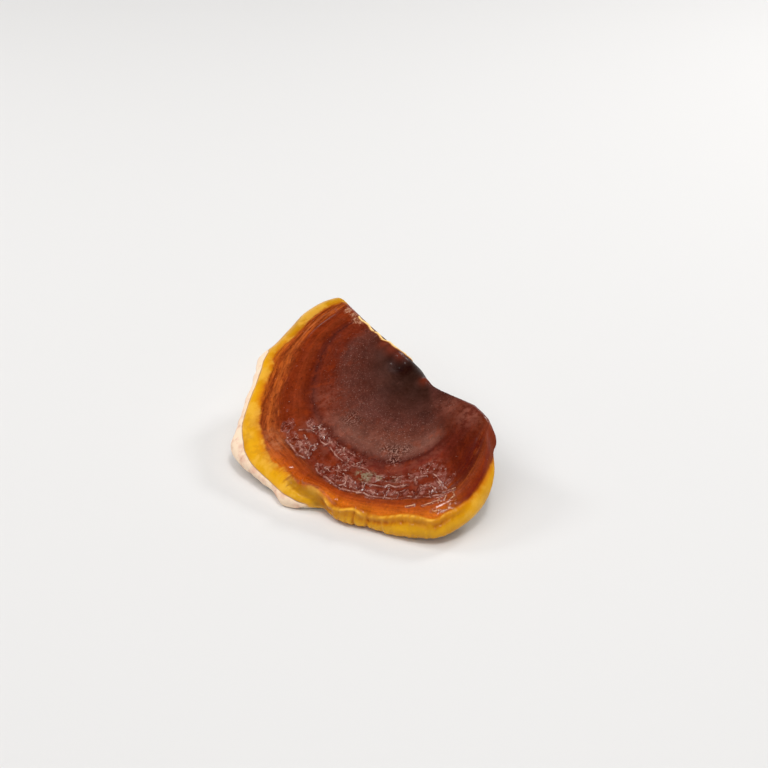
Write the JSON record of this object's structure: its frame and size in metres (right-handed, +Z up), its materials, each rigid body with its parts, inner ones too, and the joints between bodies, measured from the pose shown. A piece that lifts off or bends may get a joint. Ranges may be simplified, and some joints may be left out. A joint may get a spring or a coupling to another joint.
{
  "type": "reishi mushroom",
  "caption": "Fan-shaped lacquered bracket mushroom with ringed ledges, a dull dark middle and a pale yellow rim, on a short side stem cut off flat.",
  "frame": {"origin": "middle of the mushroom's box, on the surface that its front rim and the stem's cut rest on", "axes": "+Z up, +Y from the front rim towards the stem, +X to the right seen from the front rim"},
  "size_m": [0.1318, 0.1554, 0.0514],
  "materials": {
    "cap_lacquer": "glossy red-brown crust, dull towards the middle, with a yellow and white rim",
    "stem_lacquer": "glossy near-black red-brown crust"
  },
  "bodies": {
    "root": {"cap": "cap_lacquer", "stem": "stem_lacquer"}
  },
  "joints": []
}
